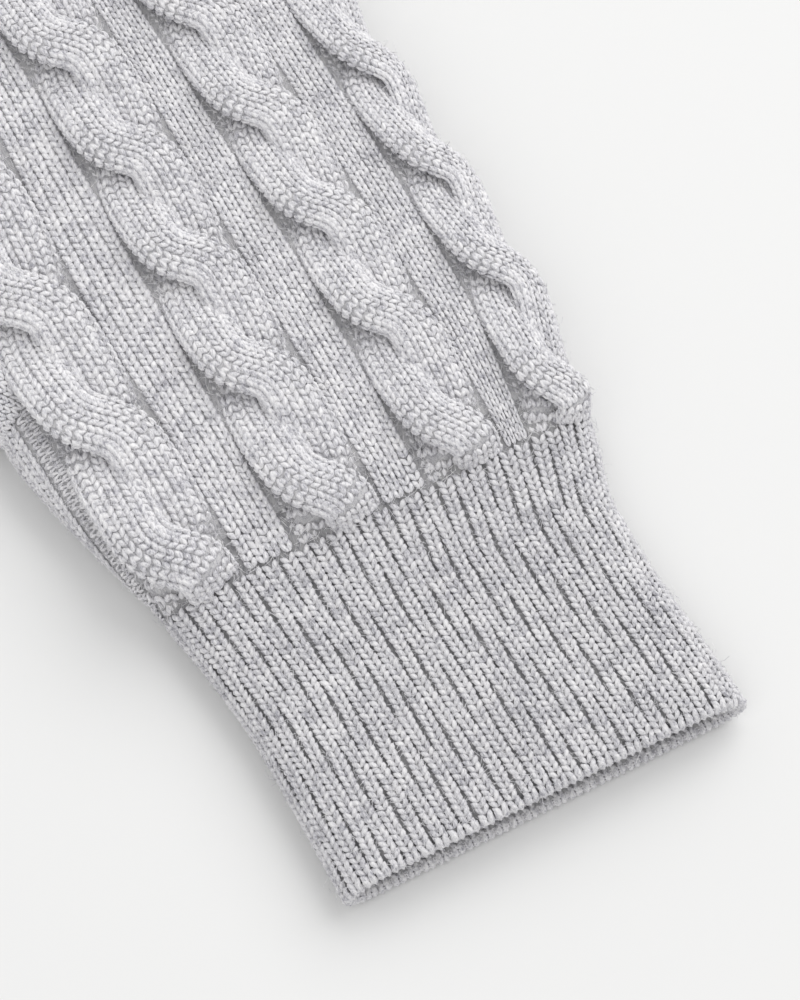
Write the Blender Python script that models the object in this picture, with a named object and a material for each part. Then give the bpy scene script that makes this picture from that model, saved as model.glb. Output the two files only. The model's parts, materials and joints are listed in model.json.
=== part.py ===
"""Knitted mitten for the right hand, lying palm down: ribbed cuff, cabled back, plain palm and thumb.

Metres, +Z up. +Y runs from the cuff to the fingertips, +X from the thumb side to the outer side.
The origin is on the surface that the mitten lies on, under the middle of its outline.
Stations are distances from the hem along +Y. Across is measured from the cuff's middle line along +X.
"""

import math

import bmesh
import bpy
import numpy as np
from mathutils import Vector

# Where the mitten's own lines lie in the frame.
HEM_Y = -0.12745
CUFF_X = 0.02555

# Fabric and joins.
FABRIC = 0.0024
GAP = 0.0003
RIB_DEPTH = 0.0006
RIBS_AROUND = 58
SEAM_HALF = 0.0011

# Stations along the mitten.
HEM_END = 0.0030
CUFF_END = 0.0545
HAND_START = 0.0595
GUSSET_START = 0.0970
FLARE_END = 0.2050
TIP_START = 0.2460
TIP = 0.2550

# Rows of (station, thumb-side edge, outer edge) of the flattened tube.
EDGES = (
    (0.000, -0.0390, 0.0395),
    (0.015, -0.0393, 0.0382),
    (0.030, -0.0397, 0.0368),
    (0.042, -0.0410, 0.0366),
    (0.054, -0.0433, 0.0394),
    (0.060, -0.0446, 0.0408),
    (0.070, -0.0477, 0.0416),
    (0.088, -0.0530, 0.0423),
    (0.100, -0.0552, 0.0418),
    (0.118, -0.0525, 0.0405),
    (0.135, -0.0470, 0.0396),
    (0.150, -0.0475, 0.0387),
    (0.175, -0.0500, 0.0370),
    (FLARE_END, -0.0510, 0.0345),
)
# Rows of (station, height of the back at its edges, extra height of its middle, lift of the palm).
HEIGHTS = (
    (0.000, 0.0096, 0.0003, 0.0),
    (0.004, 0.0105, 0.0003, 0.0),
    (0.054, 0.0108, 0.0003, 0.0),
    (0.060, 0.0117, 0.0004, 0.0),
    (0.070, 0.0134, 0.0008, 0.0),
    (0.085, 0.0140, 0.0010, 0.0),
    (0.205, 0.0140, 0.0010, 0.0),
    (0.228, 0.0128, 0.0008, 0.0),
    (0.243, 0.0105, 0.0004, 0.0),
    (0.251, 0.0086, 0.0001, 0.0008),
    (0.255, 0.0068, 0.0000, 0.0020),
)
SIDE_LINE = 0.46
BACK_ROUND = 0.0115
PALM_ROUND = 0.0075

# Thumb: its base point, its direction, and rows of (distance along, outer edge, crotch edge, height).
THUMB_BASE = Vector((-0.0607, 0.1255, 0.0))
THUMB_TURN = math.radians(30.0)
THUMB_ROWS = (
    (-0.0240, -0.0065, 0.0100, 0.0132),
    (-0.0160, -0.0102, 0.0140, 0.0130),
    (-0.0080, -0.0122, 0.0162, 0.0128),
    (0.0000, -0.0148, 0.0170, 0.0126),
    (0.0120, -0.0178, 0.0170, 0.0124),
    (0.0280, -0.0182, 0.0166, 0.0122),
    (0.0420, -0.0166, 0.0154, 0.0114),
    (0.0520, -0.0124, 0.0120, 0.0100),
    (0.0572, -0.0076, 0.0076, 0.0082),
    (0.0596, -0.0032, 0.0034, 0.0062),
)
THUMB_LIFT = 0.0003
THUMB_ROUND = 0.0080
THUMB_RING_START = 0.0050
THUMB_RING_END = 0.0110
THUMB_PIVOT_ALONG = 0.0080
THUMB_TIP_START = 0.0535
THUMB_WALL_END = 0.0560

# Line that parts the gusset and the thumb from the hand, thumb side to the left of it.
PARTING = (
    (-0.0549, GUSSET_START),
    (-0.0444, 0.1345),
    (-0.0477, 0.1382),
    (-0.0525, 0.1500),
    (-0.0660, 0.1900),
    (-0.1400, 0.1900),
    (-0.1400, GUSSET_START),
)

# Cables: name, station of the first crossing, distance between crossings, and their middle line.
CABLE_ROWS = (
    ("cable_1", 0.0660, 0.0278, ((0.060, -0.0372), (0.090, -0.0388), (0.120, -0.0405), (0.205, -0.0385))),
    ("cable_2", 0.0663, 0.0246, ((0.060, -0.0095), (0.090, -0.0105), (0.150, -0.0115), (0.205, -0.0145))),
    ("cable_3", 0.0665, 0.0238, ((0.060, 0.0155), (0.090, 0.0152), (0.150, 0.0128), (0.205, 0.0085))),
    ("cable_4", 0.0660, 0.0239, ((0.060, 0.0352), (0.090, 0.0378), (0.150, 0.0358), (0.205, 0.0305))),
)
CABLE_START = 0.0602
CABLE_END = 0.2320
STRAND_WIDTH = 0.0076
STRAND_THICK = 0.0022
STRAND_SPREAD = 0.0041
STRAND_SWING = 0.00135
STRAND_CLEAR = 0.0008
STRAND_SHARPNESS = 3.0
STRAND_SIDES = 6
STRAND_STEPS = 43

CUFF_NODES = ("cuff_back_rib", "cuff_palm_rib", "cuff_outer_seam", "cuff_thumb_side_seam", "hem_edge")
BIG = 0.5


def clear_scene():
    """Removes whatever the file holds."""
    for thing in list(bpy.data.objects):
        bpy.data.objects.remove(thing, do_unlink=True)


def new_collection(name):
    """A collection linked to the scene."""
    collection = bpy.data.collections.new(name)
    bpy.context.scene.collection.children.link(collection)
    return collection


def yarn(name, colour, roughness):
    """A plain yarn material with a little sheen."""
    material = bpy.data.materials.new(name)
    material.use_nodes = True
    shader = material.node_tree.nodes["Principled BSDF"]
    shader.inputs["Base Color"].default_value = (*colour, 1.0)
    shader.inputs["Roughness"].default_value = roughness
    shader.inputs["Metallic"].default_value = 0.0
    shader.inputs["Sheen Weight"].default_value = 0.3
    return material


def read(rows, column, station):
    """The smooth value of one column of a table at a station, without overshoot."""
    places = [row[0] for row in rows]
    values = [row[column] for row in rows]
    if station <= places[0]:
        return values[0]
    if station >= places[-1]:
        return values[-1]
    slopes = [(values[i + 1] - values[i]) / (places[i + 1] - places[i]) for i in range(len(rows) - 1)]
    turns = [slopes[0]]
    for before, after in zip(slopes, slopes[1:]):
        turns.append(0.0 if before * after <= 0.0 else 2.0 * before * after / (before + after))
    turns.append(slopes[-1])
    index = max(i for i in range(len(rows) - 1) if places[i] <= station)
    width = places[index + 1] - places[index]
    t = (station - places[index]) / width
    return (
        values[index] * (1 + 2 * t) * (1 - t) ** 2
        + turns[index] * width * t * (1 - t) ** 2
        + values[index + 1] * t * t * (3 - 2 * t)
        + turns[index + 1] * width * t * t * (t - 1)
    )


def tube_edges(station):
    """Middle and half width of the tube, which closes in an arc beyond the flare's end."""
    inner = read(EDGES, 1, station)
    outer = read(EDGES, 2, station)
    closing = max(0.0, station - FLARE_END) / (TIP - FLARE_END + 0.0002)
    return (inner + outer) / 2.0, (outer - inner) / 2.0 * math.sqrt(1.0 - closing * closing)


def section(middle, half, floor, top, crown, rounds, depth, counts):
    """Closed section as (across, height) points, from the middle of the back round by the outer side."""
    back_round = min(rounds[0], 0.8 * half)
    palm_round = min(rounds[1], 0.7 * half)
    side = floor + SIDE_LINE * (top - floor)
    flat = half - back_round
    back_n, turn_n, under_n, palm_n = counts
    outer_side = []
    for i in range(back_n):
        across = flat * i / back_n
        outer_side.append((across, top - depth + crown * math.cos(math.pi / 2 * across / max(flat, 1e-6)) ** 2))
    for i in range(turn_n):
        angle = math.pi / 2 * (1 - i / turn_n)
        outer_side.append(
            (flat + (back_round - depth) * math.cos(angle), side + (top - side - depth) * math.sin(angle))
        )
    palm_flat = half - palm_round
    for i in range(under_n):
        angle = math.pi / 2 * i / under_n
        outer_side.append(
            (
                palm_flat + (palm_round - depth) * math.cos(angle),
                side - (side - floor - depth) * math.sin(angle),
            )
        )
    for i in range(palm_n):
        outer_side.append((palm_flat * (1 - i / palm_n), floor + depth))
    mirrored = [(-across, height) for across, height in reversed(outer_side[1:])]
    points = outer_side + [(0.0, floor + depth)] + mirrored
    return [(middle + across, height) for across, height in points]


def hand_section(station, depth, counts):
    """Section of the hand or the cuff at a station."""
    middle, half = tube_edges(station)
    top = read(HEIGHTS, 1, station)
    crown = read(HEIGHTS, 2, station)
    floor = read(HEIGHTS, 3, station)
    return section(middle, half, floor, top, crown, (BACK_ROUND, PALM_ROUND), depth, counts)


def ring_at(points, station):
    """Section points as a ring across the mitten."""
    return [Vector((CUFF_X + across, HEM_Y + station, height)) for across, height in points]


def evenly(points, count):
    """Points at equal distances round a closed section."""
    path = np.array(points + points[:1])
    steps = np.hypot(*np.diff(path, axis=0).T)
    run = np.concatenate([[0.0], np.cumsum(steps)])
    wanted = np.linspace(0.0, run[-1], count, endpoint=False)
    return list(zip(np.interp(wanted, run, path[:, 0]), np.interp(wanted, run, path[:, 1])))


def ribbed_section(station):
    """Section of the cuff with a ridge and a valley for each rib."""
    fine = (12, 12, 8, 4)
    ridges = evenly(hand_section(station, 0.0, fine), 2 * RIBS_AROUND)
    valleys = evenly(hand_section(station, RIB_DEPTH, fine), 2 * RIBS_AROUND)
    return [valleys[i] if i % 2 else ridges[i] for i in range(2 * RIBS_AROUND)]


def thumb_point(along, across, height):
    """A point of the thumb, from its base, along and across its direction."""
    direction = Vector((-math.sin(THUMB_TURN), math.cos(THUMB_TURN), 0.0))
    sideways = Vector((math.cos(THUMB_TURN), math.sin(THUMB_TURN), 0.0))
    place = THUMB_BASE + direction * along + sideways * across
    return Vector((CUFF_X + place.x, HEM_Y + place.y, height))


def thumb_ring(along, depth, counts):
    """Ring of the thumb across its own direction."""
    outer = read(THUMB_ROWS, 1, along)
    crotch = read(THUMB_ROWS, 2, along)
    top = read(THUMB_ROWS, 3, along)
    lift = THUMB_LIFT + max(0.0, along - THUMB_TIP_START) * 0.3
    rounds = (THUMB_ROUND, 0.8 * THUMB_ROUND)
    points = section((outer + crotch) / 2, (crotch - outer) / 2, lift, top, 0.0005, rounds, depth, counts)
    return [thumb_point(along, across, height) for across, height in points]


def solid(name, rings):
    """A closed solid lofted through rings, with a flat cap at each end."""
    builder = bmesh.new()
    grid = [[builder.verts.new(point) for point in ring] for ring in rings]
    for before, after in zip(grid, grid[1:]):
        for i in range(len(before)):
            j = (i + 1) % len(before)
            builder.faces.new((before[i], before[j], after[j], after[i]))
    builder.faces.new(grid[0])
    builder.faces.new(grid[-1])
    bmesh.ops.recalc_face_normals(builder, faces=builder.faces)
    mesh = bpy.data.meshes.new(name)
    builder.to_mesh(mesh)
    builder.free()
    return mesh


def prism(name, corners, low, high):
    """A closed block of a flat outline, standing from low to high."""
    bottom = [Vector((CUFF_X + x, HEM_Y + y, low)) for x, y in corners]
    top = [Vector((point.x, point.y, high)) for point in bottom]
    return solid(name, [bottom, top])


def slab(name, across, stations, heights):
    """A cutter block between two limits on each axis."""
    corners = [(across[i], stations[j]) for i, j in ((0, 0), (1, 0), (1, 1), (0, 1))]
    return prism(name, corners, *heights)


def thumb_slab(name, low, high):
    """A cutter block across the thumb's direction, between two distances along it."""
    rings = []
    for along in (low, high):
        corners = ((-1, -1), (1, -1), (1, 1), (-1, 1))
        rings.append([thumb_point(along, BIG * x, BIG * z) for x, z in corners])
    return solid(name, rings)


def put(name, mesh, collection, material=None):
    """An object for a mesh, in its collection."""
    thing = bpy.data.objects.new(name, mesh)
    collection.objects.link(thing)
    if material:
        mesh.materials.append(material)
    else:
        thing.hide_render = True
        thing.display_type = "WIRE"
    return thing


def cut(thing, operation, tool):
    """Adds a Boolean to an object."""
    change = thing.modifiers.new(operation.lower(), "BOOLEAN")
    change.operation = operation
    change.object = tool
    change.solver = "EXACT"


def evaluated_mesh(thing):
    """The object's mesh with its modifiers applied."""
    bpy.context.view_layer.update()
    graph = bpy.context.evaluated_depsgraph_get()
    return bpy.data.meshes.new_from_object(thing.evaluated_get(graph))


def hand_shell(cutters):
    """Hand, gusset and thumb as one hollow shell, open at the wrist, before it is parted."""
    counts = (3, 5, 4, 2)
    stations = [0.053, 0.060, 0.064, 0.069, 0.076, 0.086, 0.098, 0.112, 0.126, 0.140, 0.158, 0.182, 0.205]
    stations += [0.217, 0.227, 0.235, 0.242, 0.2475, 0.2515, 0.2538, 0.2549]
    outer_rings = [ring_at(hand_section(station, 0.0, counts), station) for station in stations]
    inner_rings = [
        ring_at(hand_section(station, FABRIC, counts), station)
        for station in [0.050] + stations[1:-2]
    ]
    rows = [row[0] for row in THUMB_ROWS]
    thumb_counts = (2, 4, 3, 2)
    outer = put("hand_outer", solid("hand_outer", outer_rings), cutters)
    thumb_outer = put(
        "thumb_outer", solid("thumb_outer", [thumb_ring(a, 0.0, thumb_counts) for a in rows]), cutters
    )
    inner = put("hand_inner", solid("hand_inner", inner_rings), cutters)
    thumb_inner_rows = rows[:-2] + [THUMB_WALL_END]
    thumb_inner = put(
        "thumb_inner",
        solid("thumb_inner", [thumb_ring(a, FABRIC, thumb_counts) for a in thumb_inner_rows]),
        cutters,
    )
    cut(outer, "UNION", thumb_outer)
    cut(outer, "DIFFERENCE", inner)
    cut(outer, "DIFFERENCE", thumb_inner)
    shell = evaluated_mesh(outer)
    shell.name = "hand_shell"
    outer.modifiers.clear()
    return shell


def cuff_shell(cutters):
    """The ribbed cuff as one hollow shell, open at both ends."""
    stations = [0.0, 0.003, 0.015, 0.028, 0.040, 0.048, CUFF_END]
    outer = put(
        "cuff_outer",
        solid("cuff_outer", [ring_at(ribbed_section(station), station) for station in stations]),
        cutters,
    )
    inner_stations = [-0.002] + stations[1:-1] + [CUFF_END + 0.002]
    inner = put(
        "cuff_inner",
        solid(
            "cuff_inner",
            [ring_at(hand_section(station, FABRIC, (4, 5, 4, 2)), station) for station in inner_stations],
        ),
        cutters,
    )
    cut(outer, "DIFFERENCE", inner)
    shell = evaluated_mesh(outer)
    shell.name = "cuff_shell"
    outer.modifiers.clear()
    return shell


def part_of(shell, name, material, tools, collection):
    """One node: the share of a shell that its cutters leave. tools holds (operation, cutter) pairs."""
    thing = put(name, shell.copy(), collection)
    thing.hide_render = False
    thing.display_type = "TEXTURED"
    for operation, tool in tools:
        cut(thing, operation, tool)
    mesh = evaluated_mesh(thing)
    mesh.name = name
    mesh.materials.clear()
    mesh.materials.append(material)
    thing.modifiers.clear()
    thing.data = mesh
    return thing


def side_height(station):
    """Height of the side line at a station."""
    return SIDE_LINE * read(HEIGHTS, 1, station)


def build_hand(parts, cutters, knit, seam):
    """Panels, side seams, gusset, join courses, thumb and closures."""
    shell = hand_shell(cutters)
    side = side_height(0.120)
    low = side - SEAM_HALF
    high = side + SEAM_HALF
    stations = (HAND_START, TIP_START - GAP)
    everywhere = (-BIG, BIG)
    thumb_side = put("thumb_side", prism("thumb_side", PARTING, -BIG, BIG), cutters)
    moved = [(x + 1.5 * GAP, y - (GAP if y <= GUSSET_START else 0.0)) for x, y in PARTING]
    past_thumb_side = put("past_thumb_side", prism("past_thumb_side", moved, -BIG, BIG), cutters)

    def region(name, across, along, heights):
        return put(name, slab(name, across, along, heights), cutters)

    def hand_part(name, material, block):
        return part_of(shell, name, material, (("INTERSECT", block), ("DIFFERENCE", past_thumb_side)), parts)

    middle = tube_edges(0.205)[0]
    hand_part("back_panel", knit, region("back_zone", everywhere, stations, (high + GAP, BIG)))
    hand_part("palm_panel", knit, region("palm_zone", everywhere, stations, (-BIG, low - GAP)))
    hand_part("outer_side_seam", seam, region("outer_zone", (middle, BIG), stations, (low, high)))
    below = (HAND_START, GUSSET_START - GAP)
    hand_part("thumb_side_seam_lower", seam, region("lower_zone", (-BIG, middle), below, (low, high)))
    above = (0.130, TIP_START - GAP)
    hand_part("thumb_side_seam_upper", seam, region("upper_zone", (-BIG, middle), above, (low, high)))
    tip_zone = region("tip_zone", everywhere, (TIP_START, 0.3), everywhere)
    part_of(shell, "fingertip_closure", seam, (("INTERSECT", tip_zone),), parts)
    join_zone = region("join_zone", everywhere, (CUFF_END + GAP, HAND_START - GAP), everywhere)
    part_of(shell, "wrist_join_course", knit, (("INTERSECT", join_zone),), parts)

    for name, material, limits in (
        ("thumb_gusset", knit, (-BIG, THUMB_RING_START - GAP)),
        ("thumb_join_course", knit, (THUMB_RING_START, THUMB_RING_END)),
        ("thumb_tube", knit, (THUMB_RING_END + GAP, THUMB_TIP_START - GAP)),
        ("thumb_tip_closure", seam, (THUMB_TIP_START, BIG)),
    ):
        zone = put(name + "_zone", thumb_slab(name + "_zone", *limits), cutters)
        part_of(shell, name, material, (("INTERSECT", thumb_side), ("INTERSECT", zone)), parts)


def build_cuff(parts, cutters, rib, seam):
    """Two ribbed halves, their side seams and the hem."""
    shell = cuff_shell(cutters)
    side = side_height(0.03)
    low = side - SEAM_HALF
    high = side + SEAM_HALF
    stations = (HEM_END + GAP, BIG)
    everywhere = (-BIG, BIG)
    for name, material, across, along, heights in (
        ("cuff_back_rib", rib, everywhere, stations, (high + GAP, BIG)),
        ("cuff_palm_rib", rib, everywhere, stations, (-BIG, low - GAP)),
        ("cuff_outer_seam", seam, (0.0, BIG), stations, (low, high)),
        ("cuff_thumb_side_seam", seam, (-BIG, 0.0), stations, (low, high)),
        ("hem_edge", rib, everywhere, (-BIG, HEM_END), everywhere),
    ):
        zone = put(name + "_zone", slab(name + "_zone", across, along, heights), cutters)
        part_of(shell, name, material, (("INTERSECT", zone),), parts)


class Back:
    """The outer surface of the back at one station, read by distance round it."""

    def __init__(self, station):
        self.station = station
        self.middle = tube_edges(station)[0]
        points = hand_section(station, 0.0, (30, 40, 20, 2))
        outer_half = points[: 30 + 40 + 20]
        self.path = np.array(outer_half) - (self.middle, 0.0)
        steps = np.hypot(*np.diff(self.path, axis=0).T)
        self.run = np.concatenate([[0.0], np.cumsum(steps)])

    def across(self, distance):
        """(across, height) at a distance from the middle, on either side."""
        x = np.interp(abs(distance), self.run, self.path[:, 0])
        z = np.interp(abs(distance), self.run, self.path[:, 1])
        return np.array((math.copysign(x, distance), z))

    def place(self, distance, lift):
        """The point over the surface, and the direction across the surface there."""
        step = 0.0004
        along = self.across(distance + step) - self.across(distance - step)
        along /= np.hypot(*along)
        outward = np.array((-along[1], along[0]))
        point = self.across(distance) + outward * lift
        return point + (self.middle, 0.0), along, outward


def strand_rings(first, pitch, line, sign):
    """Rings of one strand, which crosses over its partner at one crossing and under it at the next."""
    rings = []
    for i in range(STRAND_STEPS + 1):
        station = CABLE_START + (CABLE_END - CABLE_START) * i / STRAND_STEPS
        scale = min(1.0, tube_edges(station)[1] / tube_edges(FLARE_END)[1])
        back = Back(station)
        turn = math.pi * (station - first) / pitch
        side = -sign * math.tanh(STRAND_SHARPNESS * math.sin(turn)) / math.tanh(STRAND_SHARPNESS)
        lift = STRAND_CLEAR + STRAND_THICK / 2 + STRAND_SWING * (1 + sign * math.cos(turn))
        distance = (read(line, 1, station) - back.middle) * scale + side * STRAND_SPREAD * scale
        point, along, outward = back.place(distance, lift)
        ring = []
        for k in range(STRAND_SIDES):
            angle = 2 * math.pi * k / STRAND_SIDES
            offset = along * math.cos(angle) * STRAND_WIDTH / 2 * scale
            offset = offset + outward * math.sin(angle) * STRAND_THICK / 2
            ring.append((point[0] + offset[0], point[1] + offset[1]))
        rings.append(ring_at(ring, station))
    return rings


def build_cables(parts, cord):
    """Four cables of two strands each."""
    for name, first, pitch, line in CABLE_ROWS:
        for letter, sign in (("a", 1), ("b", -1)):
            strand = f"{name}_strand_{letter}"
            put(strand, solid(strand, strand_rings(first, pitch, line, sign)), parts, cord)


def pivot(name, place, parts, children):
    """An empty on a joint's axis, which carries the pieces that turn about it."""
    empty = bpy.data.objects.new(name, None)
    parts.objects.link(empty)
    empty.location = place
    bpy.context.view_layer.update()
    for child in children:
        parts.objects[child].parent = empty
        parts.objects[child].matrix_parent_inverse = empty.matrix_world.inverted()


def main():
    """Builds the whole mitten."""
    clear_scene()
    parts = new_collection("knitted_mitten")
    cutters = new_collection("cutters")
    knit = yarn("heather_knit", (0.50, 0.50, 0.53), 0.95)
    rib = yarn("heather_rib", (0.46, 0.46, 0.49), 0.95)
    cord = yarn("heather_cable", (0.54, 0.54, 0.57), 0.95)
    seam = yarn("seam_yarn", (0.42, 0.42, 0.45), 0.95)
    build_hand(parts, cutters, knit, seam)
    build_cuff(parts, cutters, rib, seam)
    build_cables(parts, cord)
    wrist = Vector((CUFF_X, HEM_Y + (CUFF_END + HAND_START) / 2, side_height(CUFF_END)))
    pivot("wrist_pivot", wrist, parts, CUFF_NODES)
    thumb = thumb_point(THUMB_PIVOT_ALONG, 0.0, THUMB_ROWS[4][3] / 2)
    pivot("thumb_pivot", thumb, parts, ("thumb_tube", "thumb_tip_closure"))
    for thing in parts.objects:
        if thing.type != "MESH":
            continue
        thing.data.shade_smooth()
        thing.data.set_sharp_from_angle(angle=math.radians(35.0))


main()
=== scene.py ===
"""Knitted mitten: the visible yarn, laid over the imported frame.

Metres. +Y runs from the cuff's hem to the fingertips, +X from the thumb side to the outer side, +Z up out
of the back of the hand. A station is a distance from the hem along +Y. A turn is a share of the way round
the flattened tube, from the middle of the back by the outer side, the palm and the thumb side.
"""

import json
import math

import bmesh
import bpy
import numpy as np
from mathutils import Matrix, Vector


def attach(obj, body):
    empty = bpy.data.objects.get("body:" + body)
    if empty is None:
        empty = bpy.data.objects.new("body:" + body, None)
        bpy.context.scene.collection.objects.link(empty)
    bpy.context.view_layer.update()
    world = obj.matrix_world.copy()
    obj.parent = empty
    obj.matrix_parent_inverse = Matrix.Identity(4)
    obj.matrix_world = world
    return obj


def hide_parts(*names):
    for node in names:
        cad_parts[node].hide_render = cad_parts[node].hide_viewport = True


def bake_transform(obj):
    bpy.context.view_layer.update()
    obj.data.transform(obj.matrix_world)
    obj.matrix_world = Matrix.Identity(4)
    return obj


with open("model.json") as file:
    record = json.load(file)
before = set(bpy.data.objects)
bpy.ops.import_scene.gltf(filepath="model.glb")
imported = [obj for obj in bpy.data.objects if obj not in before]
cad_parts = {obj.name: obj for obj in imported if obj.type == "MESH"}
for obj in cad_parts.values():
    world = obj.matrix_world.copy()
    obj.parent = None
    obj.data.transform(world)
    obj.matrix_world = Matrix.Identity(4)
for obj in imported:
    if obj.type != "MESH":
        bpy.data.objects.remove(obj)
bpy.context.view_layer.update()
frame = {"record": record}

bl_info = {
    "name": "Knitted Mitten",
    "version": (1, 0, 0),
    "blender": (4, 5, 0),
    "location": "3D View > Sidebar > Mitten",
    "description": "Builds a cable-knit mitten from its stitches",
    "category": "Add Mesh",
}

JOINTS = {joint["name"]: joint for joint in frame["record"]["behaviour"]["joints"]}
WRIST = JOINTS["wrist_bend"]["pos_m"]
HINGE_STATION = 0.057
CUFF_X = WRIST[0]
HEM_Y = WRIST[1] - HINGE_STATION

FABRIC = 0.0024
RIBS_AROUND = 58
SEAM_HALF = 0.0011
RIB_END = 0.0588
HAND_START = 0.0600
GUSSET_START = 0.0970
FLARE_END = 0.2050
PLAIN_END = 0.2322
GATHER_START = 0.2440
TIP = 0.2550

# Rows of (station, thumb-side edge, outer edge) of the flattened tube.
EDGES = np.array((
    (0.000, -0.0390, 0.0395), (0.015, -0.0393, 0.0382), (0.030, -0.0397, 0.0368), (0.042, -0.0410, 0.0366),
    (0.054, -0.0433, 0.0394), (0.060, -0.0446, 0.0408), (0.070, -0.0477, 0.0416), (0.088, -0.0530, 0.0423),
    (0.100, -0.0552, 0.0418), (0.118, -0.0525, 0.0405), (0.135, -0.0470, 0.0396), (0.150, -0.0475, 0.0387),
    (0.175, -0.0500, 0.0370), (FLARE_END, -0.0510, 0.0345),
))
# Rows of (station, height of the back at its edges, extra height of its middle, lift of the palm).
HEIGHTS = np.array((
    (0.000, 0.0096, 0.0003, 0.0), (0.004, 0.0105, 0.0003, 0.0), (0.054, 0.0108, 0.0003, 0.0),
    (0.060, 0.0117, 0.0004, 0.0), (0.070, 0.0134, 0.0008, 0.0), (0.085, 0.0140, 0.0010, 0.0),
    (0.205, 0.0140, 0.0010, 0.0), (0.228, 0.0128, 0.0008, 0.0), (0.243, 0.0105, 0.0004, 0.0),
    (0.251, 0.0086, 0.0001, 0.0008), (TIP, 0.0068, 0.0, 0.0020),
))
SIDE_LINE = 0.46
BACK_ROUND = 0.0115
PALM_ROUND = 0.0075

# The thumb's base point, direction, and rows of (distance along, outer edge, crotch edge, height).
THUMB_BASE = np.array((CUFF_X - 0.0607, HEM_Y + 0.1255))
THUMB_TURN = math.radians(30.0)
THUMB_WAY = np.array((-math.sin(THUMB_TURN), math.cos(THUMB_TURN)))
THUMB_SIDE = np.array((math.cos(THUMB_TURN), math.sin(THUMB_TURN)))
THUMB_ROWS = np.array((
    (-0.0240, -0.0065, 0.0100, 0.0132), (-0.0160, -0.0102, 0.0140, 0.0130),
    (-0.0080, -0.0122, 0.0162, 0.0128), (0.0000, -0.0148, 0.0170, 0.0126),
    (0.0120, -0.0178, 0.0170, 0.0124), (0.0280, -0.0182, 0.0166, 0.0122),
    (0.0420, -0.0166, 0.0154, 0.0114), (0.0520, -0.0124, 0.0120, 0.0100),
    (0.0572, -0.0076, 0.0076, 0.0082), (0.0596, -0.0032, 0.0034, 0.0062),
))
THUMB_LIFT = 0.0003
THUMB_ROUND = 0.0080
THUMB_RING = 0.0050
THUMB_WALES = 34
THUMB_TIP_START = 0.0535
THUMB_END = 0.0596

# Cables: first crossing, distance between crossings, half width, and the line that the cable follows.
CABLES = (
    (0.0660, 0.0278, 0.0090, ((0.060, -0.0372), (0.090, -0.0388), (0.120, -0.0405), (0.205, -0.0385))),
    (0.0663, 0.0246, 0.0083, ((0.060, -0.0095), (0.090, -0.0105), (0.150, -0.0115), (0.205, -0.0145))),
    (0.0665, 0.0238, 0.0075, ((0.060, 0.0155), (0.090, 0.0152), (0.150, 0.0128), (0.205, 0.0085))),
    (0.0660, 0.0239, 0.0068, ((0.060, 0.0352), (0.090, 0.0378), (0.150, 0.0358), (0.205, 0.0305))),
)
CABLE_START = 0.0602
CABLE_END = 0.2320
STRAND_SHARPNESS = 2.2
# Shares of a cable's half width: how far its cords sway, and half a cord's width.
CORD_SWAY = 0.43
CORD_HALF = 0.63

# Depths under the tube's outer surface.
STITCH_DEPTH = 0.00045
LADDER_DEPTH = 0.0005
BED_DEPTH = 0.0009
BACK_GROUND_DEPTH = 0.0007
THUMB_GROUND_DEPTH = 0.0008
FIBRE_DEPTH = 0.0002
HIDDEN_DEPTH = 0.0009
SAMPLES_AROUND = 720


# ---- sizes and colours that a user would change


def length(name, description, default, precision=4):
    """A setting in metres."""
    return bpy.props.FloatProperty(
        name=name, description=description, default=default, unit="LENGTH", precision=precision
    )


def number(name, description, default, **settings):
    """A setting that is a number from zero up."""
    return bpy.props.FloatProperty(name=name, description=description, default=default, min=0.0, **settings)


def colour(name, description, default):
    """A setting that is a colour."""
    return bpy.props.FloatVectorProperty(
        name=name, description=description, default=default, subtype="COLOR", size=3, min=0.0, max=1.0
    )


class MittenKnit(bpy.types.PropertyGroup):
    """Sizes of the stitches."""

    wale: length("Wale", "Width of one plain stitch", 0.0021)
    course: length("Course", "Height of one plain stitch", 0.00145)
    rib_course: length("Rib Course", "Height of one rib stitch", 0.00121)
    leg_width: length("Leg Width", "Width of the yarn in a plain stitch", 0.00108, 5)
    rib_leg_width: length("Rib Leg Width", "Width of the yarn in a rib stitch", 0.00108, 5)
    unevenness: number("Unevenness", "How much the stitches differ", 0.10, max=1.0)


class MittenCable(bpy.types.PropertyGroup):
    """Sizes of the cables."""

    thickness: length("Cord Thickness", "Thickness of a cable's cord", 0.0040)
    rest_lift: length("Cord Lift", "Height of a cord's middle over the back, beside its partner", 0.0004)
    swing: length("Cord Swing", "How far a cord rises or sinks at a crossing", 0.0019)
    wales: bpy.props.IntProperty(
        name="Cord Wales", description="Columns of stitches in a cord", default=5, min=2, max=8
    )


class MittenYarn(bpy.types.PropertyGroup):
    """Colours of the mixed yarn."""

    light: colour("Light Fibre", "Lightest fibre of the mixed yarn", (0.890, 0.878, 0.880))
    middle: colour("Middle Fibre", "Main fibre of the mixed yarn", (0.715, 0.708, 0.728))
    dark: colour("Dark Fibre", "Darkest fibre of the mixed yarn", (0.350, 0.346, 0.385))
    sheen: number("Sheen", "Soft light that the brushed fibres catch", 0.30, max=1.0)


class MittenFuzz(bpy.types.PropertyGroup):
    """Hairs of the brushed surface."""

    lint_density: number("Lint Density", "Short fibres on a square metre", 1320000.0)
    lint_length: length("Lint Length", "Length of a short fibre", 0.0016)
    hair_density: number("Hair Density", "Long hairs on a square metre", 150000.0)
    hair_length: length("Hair Length", "Length of a long hair", 0.0030)
    width: length("Fibre Width", "Width of a fibre", 0.00010, 6)
    seed: bpy.props.IntProperty(name="Fibre Seed", description="Seed of the fibres' places", default=7)


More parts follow.
